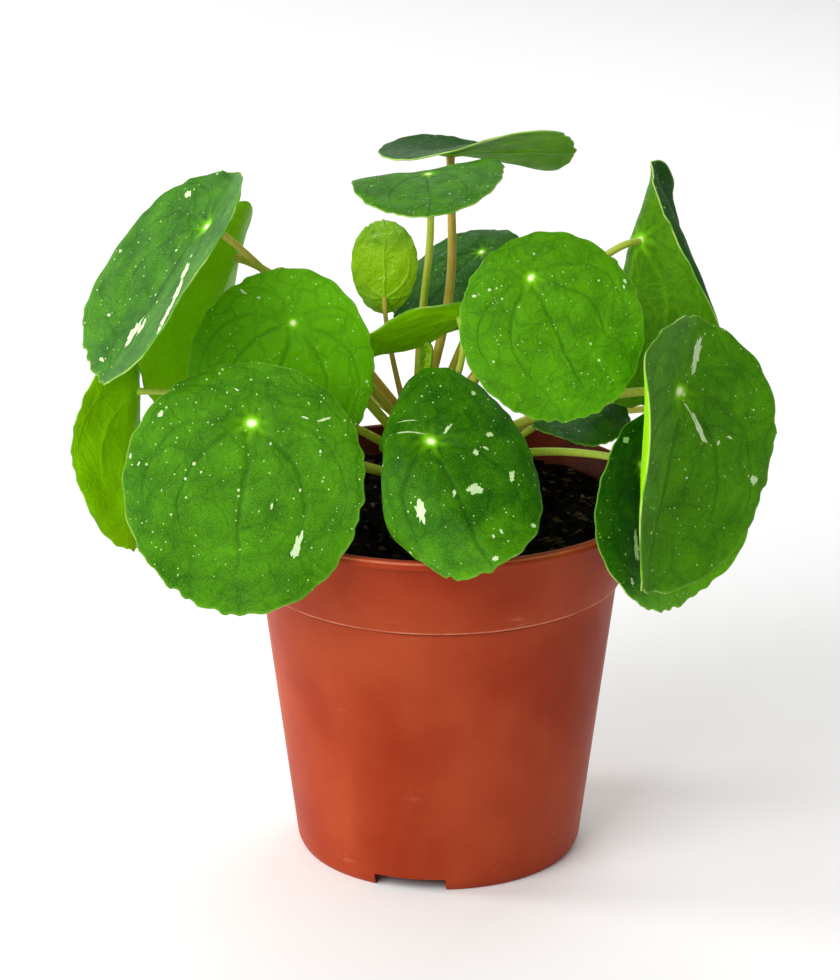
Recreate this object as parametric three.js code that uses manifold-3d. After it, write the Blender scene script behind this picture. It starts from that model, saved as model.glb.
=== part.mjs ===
// A potted pilea: a tapered plastic nursery pot, its soil, a short woody trunk, and round leaves
// that each stand on a stalk fixed near the middle of the blade's underside.
// Millimetres, +Z up. The origin is the centre of the circle that the pot stands on.
import * as THREE from 'three';
import { mergeVertices } from 'three/addons/utils/BufferGeometryUtils.js';
import Module from 'manifold-3d';

const wasm = await Module();
wasm.setup();

// Driving dimensions of the pot
const POT_HEIGHT = 104;
const RIM_RADIUS = 60;
const BASE_RADIUS = 40;
const WALL = 1.6;
const COLLAR_Z = 80;
const BODY_TOP_RADIUS = 49.8;
const COLLAR_STEP = 1.2;
const COLLAR_EDGE = 0.3;
const COLLAR_INSIDE = 3;
const LIP_HEIGHT = 2.6;
const LIP_STEP = 1.5;
const LIP_WIDTH = 2.6;
const LIP_ROUND = 0.7;
const LIP_EDGE = 0.2;
const FOOT_BEVEL = 2.2;
const FOOT_RING = 2.5;
const FLOOR_Z = 5;
const FLOOR_THICKNESS = 1.8;
const NOTCH_COUNT = 3;
const NOTCH_WIDTH = 20;
const NOTCH_HEIGHT = 3.6;
const NOTCH_DEPTH = 8;
const NOTCH_FIRST_TURN = -12;
const DRAIN_COUNT = 6;
const DRAIN_RADIUS = 3.5;
const DRAIN_CIRCLE = 24;
const DRAIN_SIDES = 12;
const DRILL_LENGTH = 12;
const POT_SIDES = 48;

// Driving dimensions of the soil and the trunk
const GAP = 0.3;
const SOIL_MARGIN = 0.2;
const SOIL_TOP = 97;
const SOIL_EDGE_DROP = 0.5;
const SOIL_BUMP = 1.2;
const SOIL_WAVE_X = 5.5;
const SOIL_WAVE_Y = 4.6;
const SOIL_RINGS = 6;
const SOIL_SIDES = 32;
const HOLE_MARGIN = 0.4;
const HOLE_SIDES = 20;
const TRUNK_RADIUS = 5;
const TRUNK_NARROWING = 0.02;
const TRUNK_BASE = [-2, 1, 72];
const TRUNK_TOP = [-7, 2, 131];
const TRUNK_LEAN_FROM = 99;
const TRUNK_STEPS = 24;
const TRUNK_SIDES = 12;
const SCAR_DEPTH = 0.5;
const SCAR_SPACING = 5.7;
const CROWN_HEIGHT = 4;
const CROWN_TAPER = 2.2;

// Driving dimensions that every leaf shares
const BLADE = 0.8;
const DIMPLE_RADIUS = 5;
const WOBBLE = 0.012;
const WOBBLES = 3;
const SMOOTH_SIDES = 20;
const EDGE_SIDES = 60;
const RINGS = [0.3, 0.62, 0.87];
const SCALLOPS = 20;
const SCALLOP = 0.008;
const SLOPE_STEP = 0.02;
const STALK_SIDES = 6;
const STALK_STEPS = 10;
const STALK_TAPER = 0.75;
const STALK_SEAM = [0.3, 1, 0.2];

// Each leaf:
//   at     where the stalk meets the blade's upper face
//   face   [turn, tilt, spin] in degrees: the compass turn of the upper face (0 to the front, + to the
//          right), its tilt above the horizon, and how far the tip swings from straight down
//   size   [length, width, share of the length above the stalk, egg: how much wider the tip half is]
//   form   [dome, dimple, wave height, waves round the edge, wave phase]
//   bends  [direction from the tip in degrees, start, radius, limit in degrees]: each rolls the blade
//          down past its start, or up if its radius is negative
//   stalk  [compass turn on the trunk, height, rise in degrees, reach, approach, radius]
const LEAVES = [
  { name: 'front_left', at: [-50, -45, 138.5], face: [-4, 26, -4], size: [67, 64, 0.235, -0.07],
    form: [2, 1.5, 0.8, 5, 0], bends: [], stalk: [-40, 109, 11, 18, 10, 1.5] },
  { name: 'front_middle', at: [-2.5, -50, 135], face: [12, 46, 15], size: [65, 53, 0.385, 0.06],
    form: [1, 1.5, 0.8, 4, 1], bends: [[90, 12, 22, 50], [-136, 1.5, 12, 85], [-74, 6, 14, 85]],
    stalk: [10, 112, 35, 20, 14, 1.5] },
  { name: 'front_right', at: [23.5, -44, 177], face: [6, 22, 24], size: [50, 48, 0.235, 0.03],
    form: [2, 1.2, 0.6, 5, 1], bends: [], stalk: [60, 120, 60, 26, 18, 1.4] },
  { name: 'middle_left', at: [-39.4, -18.5, 157.1], face: [-6, 5, -14], size: [54, 50, 0.27, 0.03],
    form: [2, 1.2, 0.6, 5, 2], bends: [], stalk: [-80, 118, 45, 20, 18, 1.4] },
  { name: 'outer_right', at: [64, -38, 144], face: [54, 4, -25], size: [74, 71, 0.28, -0.1],
    form: [0, 1.5, 0.8, 5, 3], bends: [[90, 0, -10, 20], [-90, 0, -10, 12], [-64, 24, -12, 24]],
    stalk: [60, 112, 40, 24, 20, 1.5] },
  { name: 'lower_right', at: [54.6, -38, 124], face: [36, 5, 26], size: [56, 54, 0.23, 0.03],
    form: [1, 1.2, 1, 4, 0], bends: [[90, 0, -20, 15], [-90, 0, -20, 15]],
    stalk: [40, 107, 42, 28, 16, 1.3] },
  { name: 'upper_left', at: [-62.5, -12, 183.5], face: [-72, 38, 7], size: [67, 64, 0.235, 0.03],
    form: [0, 1.2, 0.6, 5, 0], bends: [[90, 0, -30, 12], [-90, 0, -30, 12]],
    stalk: [-82, 123, 50, 30, 20, 1.3] },
  { name: 'upper_left_back', at: [-57.5, 20, 165], face: [-116, 7, 24], size: [64, 60, 0.245, 0.03],
    form: [0, 1, 0.6, 5, 0], bends: [[90, 0, -12, 21], [-90, 0, -12, 21]],
    stalk: [-120, 124, 45, 30, 16, 1.4] },
  { name: 'far_left', at: [-83.5, -7, 134.5], face: [-109, -6, 18], size: [53, 46, 0.18, -0.12],
    form: [0, 1, 0.6, 5, 0], bends: [[90, 0, -12, 22], [-90, 0, -12, 22]],
    stalk: [-95, 112, 35, 36, 20, 1.2] },
  { name: 'upper_right', at: [55, 5, 173], face: [138, -20, 3], size: [67, 70, 0.33, 0.18],
    form: [0, 1, 0.5, 5, 0], bends: [[90, 0, -6, 90], [-136, 7, 9, 90]],
    stalk: [100, 124, 50, 30, 12, 1.3] },
  { name: 'top_back', at: [3, 8, 198], face: [180, 70, -90], size: [53, 46, 0.36, 0.03],
    form: [0, 1, 3.8, 2, 3.14], bends: [[100, 8, -20, 40]], stalk: [110, 131, 73, 34, 26, 1.4] },
  { name: 'top_front', at: [-3.2, -21, 199.8], face: [-32, 79, 32], size: [41, 40, 0.44, 0],
    form: [1, 1, 1.4, 2, -1.57], bends: [[-170, 0, 9, 72]], stalk: [170, 130, 84, 30, 22, 1.2] },
  { name: 'young', at: [-15, 4, 158], face: [180, 10, 180], size: [28, 18, 0.2, 0.03],
    form: [-2, 0.5, 0, 4, 0], bends: [], stalk: [-110, 130, 75, 14, 8, 0.8] },
  { name: 'bud', at: [-4.6, -5, 139], face: [10, -5, 172], size: [10, 4.4, 0.05, 0],
    form: [0, 0.2, 0, 4, 0], bends: [[90, 0, -1.6, 70], [-90, 0, -1.6, 70]],
    stalk: [5, 129, 80, 2, 2, 0.8] },
  { name: 'back_middle', at: [11.5, 38, 161.5], face: [-46, 57, -6], size: [42, 38, 0.25, 0.03],
    form: [2, 1, 0.6, 5, 0], bends: [], stalk: [120, 126, 70, 20, 12, 1.2] },
  { name: 'inner_left', at: [4.7, -9, 157.5], face: [-152, 47, 58], size: [34, 25.5, 0.14, 0],
    form: [0, 1, 0.5, 5, 0], bends: [], stalk: [45, 126, 45, 12, 10, 1.1] },
  { name: 'inner_right', at: [33, 12, 128.5], face: [10, 75, 20], size: [36, 28, 0.25, 0.03],
    form: [1, 1, 0.6, 5, 0], bends: [], stalk: [80, 108, 35, 14, 10, 1.1] },
  { name: 'back_right', at: [31, 54, 143], face: [150, 18, 0], size: [50, 48, 0.235, 0.03],
    form: [2, 1.2, 0.6, 5, 2], bends: [], stalk: [140, 118, 50, 24, 16, 1.4] },
  { name: 'back_left', at: [-43, 58.4, 122], face: [-140, 18, 0], size: [50, 48, 0.235, 0.03],
    form: [2, 1.2, 0.6, 5, 1], bends: [], stalk: [-150, 114, 40, 24, 16, 1.4] },
  { name: 'back_outer', at: [93.4, 50, 111], face: [78, 2, 0], size: [36, 34, 0.3, 0.03],
    form: [1, 1, 0.6, 5, 4], bends: [], stalk: [118, 112, 20, 30, 24, 1.2] },
];

const COLOURS = {
  pot: 0xb5502f,
  soil: 0x2a1c14,
  trunk: 0x6d5236,
  stalk: 0xa3a03c,
  blade: 0x3f8f1d,
};

// Vector helpers
const radians = THREE.MathUtils.degToRad;
const vec = (a) => new THREE.Vector3(a[0], a[1], a[2]);
const compass = (turn) => vec([Math.sin(radians(turn)), -Math.cos(radians(turn)), 0]);
const mix = (a, b, t) => a + (b - a) * t;

function finish(geometry) {
  geometry.deleteAttribute('normal');
  geometry.deleteAttribute('uv');
  return mergeVertices(geometry, 1e-4);
}

function toSolid(geometry) {
  const merged = finish(geometry);
  return new wasm.Manifold(new wasm.Mesh({
    numProp: 3,
    vertProperties: new Float32Array(merged.attributes.position.array),
    triVerts: new Uint32Array(merged.index.array),
  }));
}

function toGeometry(solid) {
  const mesh = solid.getMesh();
  return new THREE.BufferGeometry()
    .setAttribute('position', new THREE.BufferAttribute(new Float32Array(mesh.vertProperties), 3))
    .setIndex(new THREE.BufferAttribute(new Uint32Array(mesh.triVerts), 1));
}

// A lathe about +Z from [radius, z] points, listed anticlockwise round the half section.
function turned(points, sides) {
  const profile = points.map(([r, z]) => new THREE.Vector2(r, z));
  return new THREE.LatheGeometry(profile, sides).rotateX(Math.PI / 2);
}

// The pot: a lathed shell, cut by the notches in its foot and the drain holes in its floor
function potGeometry() {
  const slope = (RIM_RADIUS - LIP_STEP - BODY_TOP_RADIUS - COLLAR_STEP) / (POT_HEIGHT - COLLAR_Z);
  const lipZ = POT_HEIGHT - LIP_HEIGHT;
  const collarFoot = BODY_TOP_RADIUS + COLLAR_STEP;
  const collarTop = collarFoot + slope * (lipZ - COLLAR_Z);
  const insideBase = BASE_RADIUS - WALL;
  const profile = [
    [0, FLOOR_Z],
    [insideBase - FOOT_RING / 2, FLOOR_Z],
    [BASE_RADIUS - FOOT_BEVEL / 2 - FOOT_RING, 0],
    [BASE_RADIUS - FOOT_BEVEL / 2, 0],
    [BASE_RADIUS, FOOT_BEVEL],
    [BODY_TOP_RADIUS, COLLAR_Z],
    [collarFoot, COLLAR_Z + COLLAR_EDGE],
    [collarTop, lipZ],
    [RIM_RADIUS - LIP_EDGE, lipZ + LIP_EDGE],
    [RIM_RADIUS, lipZ + LIP_HEIGHT / 2],
    [RIM_RADIUS - LIP_ROUND, POT_HEIGHT],
    [RIM_RADIUS - LIP_WIDTH, POT_HEIGHT],
    [collarFoot - WALL, COLLAR_Z],
    [BODY_TOP_RADIUS - WALL, COLLAR_Z - COLLAR_INSIDE],
    [insideBase, FLOOR_Z + FLOOR_THICKNESS],
    [0, FLOOR_Z + FLOOR_THICKNESS],
  ];
  let pot = toSolid(turned(profile, POT_SIDES));
  for (let i = 0; i < NOTCH_COUNT; i += 1) {
    const turn = NOTCH_FIRST_TURN + (360 / NOTCH_COUNT) * i;
    const cutter = new THREE.BoxGeometry(NOTCH_WIDTH, 2 * NOTCH_DEPTH, 2 * NOTCH_HEIGHT)
      .translate(0, -BASE_RADIUS, 0)
      .rotateZ(radians(turn));
    pot = pot.subtract(toSolid(cutter));
  }
  for (let i = 0; i < DRAIN_COUNT; i += 1) {
    const centre = compass((360 / DRAIN_COUNT) * i).multiplyScalar(DRAIN_CIRCLE);
    const drill = new THREE.CylinderGeometry(DRAIN_RADIUS, DRAIN_RADIUS, DRILL_LENGTH, DRAIN_SIDES)
      .rotateX(Math.PI / 2)
      .translate(centre.x, centre.y, FLOOR_Z);
    pot = pot.subtract(toSolid(drill));
  }
  return toGeometry(pot);
}

// The soil: it fills the pot to just below the rim, with a gently bumpy top and a plain hole for the trunk
function soilRadius(z) {
  const floor = FLOOR_Z + FLOOR_THICKNESS;
  const body = mix(
    BASE_RADIUS - WALL,
    BODY_TOP_RADIUS - WALL,
    (z - floor) / (COLLAR_Z - COLLAR_INSIDE - floor),
  );
  const collar = mix(
    BODY_TOP_RADIUS + COLLAR_STEP - WALL,
    RIM_RADIUS - LIP_WIDTH,
    (z - COLLAR_Z) / (POT_HEIGHT - COLLAR_Z),
  );
  return (z < COLLAR_Z ? body : collar) - GAP - SOIL_MARGIN;
}

function soilGeometry() {
  const bottom = FLOOR_Z + FLOOR_THICKNESS + GAP;
  const shoulder = COLLAR_Z - COLLAR_INSIDE;
  const edgeZ = SOIL_TOP - SOIL_EDGE_DROP;
  const profile = [
    [0, bottom],
    [soilRadius(bottom) - SOIL_MARGIN, bottom],
    [soilRadius(shoulder), shoulder],
    [soilRadius(COLLAR_Z), COLLAR_Z + SOIL_MARGIN],
    [soilRadius(edgeZ), edgeZ],
  ];
  for (let i = 1; i < SOIL_RINGS; i += 1) {
    profile.push([soilRadius(edgeZ) * (1 - i / SOIL_RINGS), SOIL_TOP]);
  }
  profile.push([0, SOIL_TOP]);
  const soil = turned(profile, SOIL_SIDES);
  const spot = soil.attributes.position;
  for (let i = 0; i < spot.count; i += 1) {
    const [x, y, z] = [spot.getX(i), spot.getY(i), spot.getZ(i)];
    if (z > edgeZ + SOIL_MARGIN) {
      spot.setZ(i, z + SOIL_BUMP * Math.sin(x / SOIL_WAVE_X + 1) * Math.cos(y / SOIL_WAVE_Y));
    }
  }
  const hole = TRUNK_RADIUS + GAP + HOLE_MARGIN;
  const drillLength = 2 * (SOIL_TOP - TRUNK_BASE[2]);
  const drill = new THREE.CylinderGeometry(hole, hole, drillLength, HOLE_SIDES)
    .rotateX(Math.PI / 2)
    .translate(TRUNK_BASE[0], TRUNK_BASE[1], TRUNK_BASE[2] - GAP + drillLength / 2);
  return toGeometry(toSolid(soil).subtract(toSolid(drill)));
}

// The trunk: straight in the soil, then leaning, with raised rings of old leaf scars
function trunkCentre(z) {
  const t = Math.max(0, (z - TRUNK_LEAN_FROM) / (TRUNK_TOP[2] - TRUNK_LEAN_FROM));
  return [mix(TRUNK_BASE[0], TRUNK_TOP[0], t * t), mix(TRUNK_BASE[1], TRUNK_TOP[1], t * t)];
}

function trunkRadius(z) {
  const above = Math.max(0, z - TRUNK_LEAN_FROM);
  const groove = SCAR_DEPTH * Math.max(0, Math.sin((2 * Math.PI * above) / SCAR_SPACING));
  const crown = Math.max(0, (z - TRUNK_TOP[2] + CROWN_HEIGHT) / CROWN_HEIGHT);
  return TRUNK_RADIUS - TRUNK_NARROWING * above - CROWN_TAPER * crown * crown - groove;
}

function trunkGeometry() {
  const profile = [[0, 0]];
  for (let i = 0; i <= TRUNK_STEPS; i += 1) {
    const z = mix(TRUNK_BASE[2], TRUNK_TOP[2], i / TRUNK_STEPS);
    profile.push([trunkRadius(z), z - TRUNK_BASE[2]]);
  }
  profile.push([0, TRUNK_TOP[2] - TRUNK_BASE[2]]);
  const trunk = turned(profile, TRUNK_SIDES).translate(0, 0, TRUNK_BASE[2]);
  const spot = trunk.attributes.position;
  for (let i = 0; i < spot.count; i += 1) {
    const [dx, dy] = trunkCentre(spot.getZ(i));
    spot.setXY(i, spot.getX(i) + dx, spot.getY(i) + dy);
  }
  return finish(trunk);
}

// A leaf's own axes: n out of the upper face, t to the tip, s across
function leafAxes({ face: [turn, tilt, spin] }) {
  const across = vec([Math.cos(radians(turn)), Math.sin(radians(turn)), 0]);
  const n = compass(turn).multiplyScalar(Math.cos(radians(tilt)));
  n.z = Math.sin(radians(tilt));
  const down = compass(turn).multiplyScalar(Math.sin(radians(tilt)));
  down.z = -Math.cos(radians(tilt));
  const [c, s] = [Math.cos(radians(spin)), Math.sin(radians(spin))];
  return {
    n,
    t: down.clone().multiplyScalar(c).addScaledVector(across, s),
    s: across.clone().multiplyScalar(c).addScaledVector(down, -s),
  };
}

// The blade's outline at an angle from the tip, as [across, along], measured from the stalk
function outline({ size: [length, width, above, egg] }, angle, scallop) {
  const wave = 1 + scallop * Math.cos(SCALLOPS * angle) + WOBBLE * Math.cos(WOBBLES * angle + length);
  return [
    0.5 * width * Math.sin(angle) * (1 + egg * Math.cos(angle)) * wave,
    (0.5 - above) * length + 0.5 * length * Math.cos(angle) * wave,
  ];
}

// A point of the blade's middle surface, in the leaf's axes, after its dome, ripple and bends
function bladePoint(leaf, across, along, share, angle) {
  const [dome, dimple, height, waves, phase] = leaf.form;
  const near = Math.hypot(across, along) / DIMPLE_RADIUS;
  let s = across;
  let t = along;
  let h = -dome * share * share - dimple * Math.exp(-near * near);
  h += height * share ** waves * Math.sin(waves * angle + phase);
  for (const [direction, start, radius, limit] of leaf.bends) {
    const [ds, dt] = [Math.sin(radians(direction)), Math.cos(radians(direction))];
    const out = s * ds + t * dt - start;
    if (out > 0) {
      const roll = Math.sign(radius) * Math.min(out / Math.abs(radius), radians(limit));
      const past = out - roll * radius;
      const move = (radius + h) * Math.sin(roll) + past * Math.cos(roll) - out;
      h = h * Math.cos(roll) - radius * (1 - Math.cos(roll)) - past * Math.sin(roll);
      s += ds * move;
      t += dt * move;
    }
  }
  return vec([s, t, h]);
}

function surfacePoint(leaf, axes, share, angle, scallop) {
  const [across, along] = outline(leaf, angle, scallop);
  const p = bladePoint(leaf, across * share, along * share, share, angle);
  return vec(leaf.at)
    .addScaledVector(axes.s, p.x)
    .addScaledVector(axes.t, p.y)
    .addScaledVector(axes.n, p.z);
}

function surfaceNormal(leaf, axes, share, angle) {
  const inner = share - SLOPE_STEP;
  const p = surfacePoint(leaf, axes, inner, angle, 0);
  const out = surfacePoint(leaf, axes, share + SLOPE_STEP, angle, 0).sub(p);
  const round = surfacePoint(leaf, axes, inner, angle + SLOPE_STEP, 0).sub(p);
  return out.cross(round).normalize();
}

// The blade: two faces split alike, half the blade's thickness either side of its middle surface
function bladeGeometry(leaf) {
  const axes = leafAxes(leaf);
  const upper = [];
  const lower = [];
  const add = (point, normal) => {
    upper.push(point.clone().addScaledVector(normal, BLADE / 2));
    lower.push(point.clone().addScaledVector(normal, -BLADE / 2));
  };
  add(surfacePoint(leaf, axes, 0, 0, 0), axes.n);
  for (const share of RINGS) {
    for (let i = 0; i < SMOOTH_SIDES; i += 1) {
      const angle = (2 * Math.PI * i) / SMOOTH_SIDES;
      add(surfacePoint(leaf, axes, share, angle, 0), surfaceNormal(leaf, axes, share, angle));
    }
  }
  for (let i = 0; i < EDGE_SIDES; i += 1) {
    const angle = (2 * Math.PI * i) / EDGE_SIDES;
    add(surfacePoint(leaf, axes, 1, angle, SCALLOP), surfaceNormal(leaf, axes, 1, angle));
  }
  const faces = [];
  const ring = (k, i) => 1 + k * SMOOTH_SIDES + (i % SMOOTH_SIDES);
  const edge = (i) => 1 + RINGS.length * SMOOTH_SIDES + (i % EDGE_SIDES);
  const fan = EDGE_SIDES / SMOOTH_SIDES;
  for (let i = 0; i < SMOOTH_SIDES; i += 1) {
    faces.push([0, ring(0, i), ring(0, i + 1)]);
    for (let k = 1; k < RINGS.length; k += 1) {
      faces.push([ring(k - 1, i), ring(k, i), ring(k, i + 1)]);
      faces.push([ring(k - 1, i), ring(k, i + 1), ring(k - 1, i + 1)]);
    }
    const last = RINGS.length - 1;
    for (let j = 0; j < fan; j += 1) {
      const near = j < fan / 2 ? ring(last, i) : ring(last, i + 1);
      faces.push([near, edge(i * fan + j), edge(i * fan + j + 1)]);
    }
    faces.push([ring(last, i), edge(i * fan + Math.ceil(fan / 2)), ring(last, i + 1)]);
  }
  const count = upper.length;
  const index = faces.flat();
  for (const [a, b, c] of faces) index.push(a + count, c + count, b + count);
  for (let i = 0; i < EDGE_SIDES; i += 1) {
    const [a, b] = [edge(i), edge(i + 1)];
    index.push(a, a + count, b, b, a + count, b + count);
  }
  return closedGeometry([...upper, ...lower], index);
}

function closedGeometry(points, index) {
  const flat = new Float32Array(points.flatMap((p) => [p.x, p.y, p.z]));
  return new THREE.BufferGeometry()
    .setAttribute('position', new THREE.BufferAttribute(flat, 3))
    .setIndex(index);
}

// The stalk's line: off the trunk at its rise, over, and up to the blade square to its underside
function stalkCurve(leaf) {
  const [turn, z, rise, reach, approach, radius] = leaf.stalk;
  const axes = leafAxes(leaf);
  const out = compass(turn).multiplyScalar(Math.cos(radians(rise)));
  out.z = Math.sin(radians(rise));
  const [cx, cy] = trunkCentre(z);
  const crest = Math.max(trunkRadius(z), trunkRadius(z + radius * Math.cos(radians(rise))));
  const clear = crest + GAP + radius * Math.sin(radians(rise));
  const start = vec([cx, cy, z]).addScaledVector(compass(turn), clear);
  const dimple = leaf.form[1];
  const end = vec(leaf.at).addScaledVector(axes.n, -dimple - BLADE / 2 - GAP);
  return new THREE.CubicBezierCurve3(
    start,
    start.clone().addScaledVector(out, reach),
    end.clone().addScaledVector(axes.n, -approach),
    end,
  );
}

function stalkGeometry(leaf) {
  const curve = stalkCurve(leaf);
  const radius = leaf.stalk[5];
  const points = [];
  const index = [];
  let side = vec(STALK_SEAM);
  for (let k = 0; k <= STALK_STEPS; k += 1) {
    const share = k / STALK_STEPS;
    const centre = curve.getPointAt(share);
    const along = curve.getTangentAt(share);
    side = side.clone().addScaledVector(along, -side.dot(along)).normalize();
    const across = along.clone().cross(side);
    const r = radius * mix(1, STALK_TAPER, share);
    for (let i = 0; i < STALK_SIDES; i += 1) {
      const a = (2 * Math.PI * i) / STALK_SIDES;
      points.push(centre.clone()
        .addScaledVector(side, r * Math.cos(a))
        .addScaledVector(across, r * Math.sin(a)));
    }
  }
  const at = (k, i) => k * STALK_SIDES + (i % STALK_SIDES);
  for (let i = 0; i < STALK_SIDES; i += 1) {
    for (let k = 0; k < STALK_STEPS; k += 1) {
      index.push(at(k, i), at(k, i + 1), at(k + 1, i + 1), at(k, i), at(k + 1, i + 1), at(k + 1, i));
    }
  }
  for (let i = 1; i < STALK_SIDES - 1; i += 1) {
    index.push(at(0, 0), at(0, i + 1), at(0, i));
    index.push(at(STALK_STEPS, 0), at(STALK_STEPS, i), at(STALK_STEPS, i + 1));
  }
  return closedGeometry(points, index);
}

function piece(name, geometry, colour, roughness) {
  const material = new THREE.MeshStandardMaterial({ color: colour, roughness, metalness: 0 });
  const mesh = new THREE.Mesh(geometry, material);
  mesh.name = name;
  return mesh;
}

const plant = new THREE.Group();
plant.add(piece('pot', potGeometry(), COLOURS.pot, 0.5));
plant.add(piece('soil', soilGeometry(), COLOURS.soil, 1));
plant.add(piece('trunk', trunkGeometry(), COLOURS.trunk, 0.8));
for (const leaf of LEAVES) {
  const group = new THREE.Group();
  group.add(piece(`stalk_${leaf.name}`, stalkGeometry(leaf), COLOURS.stalk, 0.5));
  group.add(piece(`blade_${leaf.name}`, bladeGeometry(leaf), COLOURS.blade, 0.45));
  plant.add(group);
}

export default plant;
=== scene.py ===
# A potted pilea: a tapered plastic nursery pot, its soil, a short woody trunk and twenty leaves, each a round
# blade on a stalk fixed near the middle of its underside. Sizes are in millimetres, in the CAD frame: +Z up,
# the origin at the centre of the pot's foot. The pieces repeat the CAD's rules, only finer.
import math
import random

import bmesh
import bpy
import numpy as np
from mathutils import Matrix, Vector, noise


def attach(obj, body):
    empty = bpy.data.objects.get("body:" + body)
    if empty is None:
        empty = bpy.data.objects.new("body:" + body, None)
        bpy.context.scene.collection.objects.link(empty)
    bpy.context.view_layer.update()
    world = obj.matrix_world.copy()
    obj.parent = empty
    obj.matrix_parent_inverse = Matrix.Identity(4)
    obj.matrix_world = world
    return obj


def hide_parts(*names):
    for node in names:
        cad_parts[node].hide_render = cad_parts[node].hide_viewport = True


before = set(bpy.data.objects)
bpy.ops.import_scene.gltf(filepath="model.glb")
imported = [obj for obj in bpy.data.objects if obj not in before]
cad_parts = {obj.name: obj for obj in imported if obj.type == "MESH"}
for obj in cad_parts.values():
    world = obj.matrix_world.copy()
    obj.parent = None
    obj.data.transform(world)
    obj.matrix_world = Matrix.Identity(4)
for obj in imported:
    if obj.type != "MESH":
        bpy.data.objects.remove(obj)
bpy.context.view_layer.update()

MM = 0.001
ROOT = "root"
UP = Vector((0, 0, 1))

# Camera, as fitted to the pot's ellipses in the photograph: aim, distance, angle down and focal length
PHOTO_HEIGHT = 980
CAMERA_AIM = (-5.304, 0, 103.532)
CAMERA_DISTANCE = 1100
CAMERA_DOWN = 19.329
FOCAL_PIXELS = 3970.83
SENSOR = 36

# Pot
POT_HEIGHT = 104
RIM_RADIUS = 60
BASE_RADIUS = 40
WALL = 1.6
COLLAR_Z = 80
BODY_TOP_RADIUS = 49.8
COLLAR_STEP = 1.2
COLLAR_EDGE = 0.3
COLLAR_INSIDE = 3
LIP_HEIGHT = 2.6
LIP_STEP = 1.5
LIP_WIDTH = 2.6
LIP_ROUND = 0.7
LIP_EDGE = 0.2
FOOT_BEVEL = 2.2
FOOT_RING = 2.5
FLOOR_Z = 5
FLOOR_THICKNESS = 1.8
NOTCH_COUNT = 3
NOTCH_WIDTH = 20
NOTCH_HEIGHT = 3.6
NOTCH_DEPTH = 8
NOTCH_FIRST_TURN = -12
DRAIN_COUNT = 6
DRAIN_RADIUS = 3.5
DRAIN_CIRCLE = 24
DRAIN_DEPTH = 12
DRAIN_SIDES = 32
POT_SIDES = 180
POT_SEGMENT = 8
FILLET_STEPS = 4
SHARP_ANGLE = 32
EDGE_LINE_WIDTH = 0.45
# Lines round the pot, each a height and a colour: painted shade just under the collar's step and under the
# lip, and painted highlight on the collar's lower edge and on the rounded top of the rim
EDGE_SHADE_AND_HIGHLIGHT = (
    (COLLAR_Z - 0.2, (56, 17, 8)),
    (POT_HEIGHT - LIP_HEIGHT - 0.2, (56, 17, 8)),
    (COLLAR_Z + 0.6, (212, 132, 102)),
    (POT_HEIGHT - 0.5, (214, 122, 88)),
)

# Soil
SOIL_TOP = 97
SOIL_RADIUS = 54.9
SOIL_BOTTOM = 7.1
SOIL_SIDES = 220
SOIL_RINGS = 56
SOIL_SEED = 7
# The radius and height of the soil's own edges under its top
SOIL_EDGES = ((50.2, 82), (48.9, 80.2), (47.6, 76), (37.9, SOIL_BOTTOM))
# The length and height of its waves, from wide to narrow
SOIL_WAVES = ((11, 1.0), (4.5, 0.9), (1.7, 0.5))
SOIL_MOUND = 1.6
SOIL_MOUND_WIDTH = 5
SOIL_DIP = 0.8
SOIL_DIP_WIDTH = 3
# Crumbs and bark chips: how many, the range of their sizes and their shape
CRUMBS = 620
CRUMB_SIZES = (0.5, 1.9)
CRUMB_SHAPE = (1, 0.8, 0.6)
CHIPS = 60
CHIP_SIZES = (1.2, 2.6)
CHIP_SHAPE = (1, 0.3, 0.2)
LOOSE_MARGIN = 2.5
LOOSE_BUMPS = 0.7
LOOSE_LIFT = 0.1

# Trunk
TRUNK_RADIUS = 5
TRUNK_NARROWING = 0.02
TRUNK_BASE = (-2, 1, 72)
TRUNK_TOP = (-7, 2, 131)
TRUNK_LEAN_FROM = 99
CROWN_HEIGHT = 4
CROWN_TAPER = 2.2
TRUNK_SIDES = 56
TRUNK_STEPS = 190
SCAR_SPACING = 5.7
SCAR_GROOVE = 0.5
SCAR_BULGE = 0.35
SCAR_WIDTH = 0.5
SCAR_HEIGHT = 0.22
SCAR_TURN = 2.4
BARK_ROUGH = 0.28
BARK_FINE = 0.12
GREEN_FROM = 118
GREEN_OVER = 12

# What every leaf shares
GAP = 0.3
BLADE = 0.8
DIMPLE_RADIUS = 5
WOBBLE = 0.012
WOBBLES = 3
SCALLOPS = 20
SCALLOP = 0.008
NIBBLES = ((34, 0.004), (47, 0.003))
TEETH_FROM = 0.88
NEAR_STALK = 0.002
SLOPE_STEP = 0.02
THIN_FROM = 0.93
THIN_EDGE = 0.55
RIM_BULGE = 0.12
PUCKER = 0.12
VEIN_GROOVE = 0.1
VEIN_RIDGE = 0.16
VEIN_WIDTH = 0.028
FLECK_SIDES = 22
FLECK_LIFT = 0.05
FLECK_LIMIT = 0.985
FLECK_SEED = 11
RINGS = 40
LAST_RINGS = (0.99, 1.0)
SIDES = 160

# What every stalk shares; its swellings are given as how much and how far along
STALK_TAPER = 0.75
STALK_SIDES = 16
STALK_STEPS = 64
STALK_TUCK = 0.2
FOOT_SWELL = (0.22, 2.5)
TOP_SWELL = (0.18, 1.2)
RIDGES = 5
RIDGE = 0.035
RIDGE_TWIST = 3
SEAT = 0.6

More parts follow.
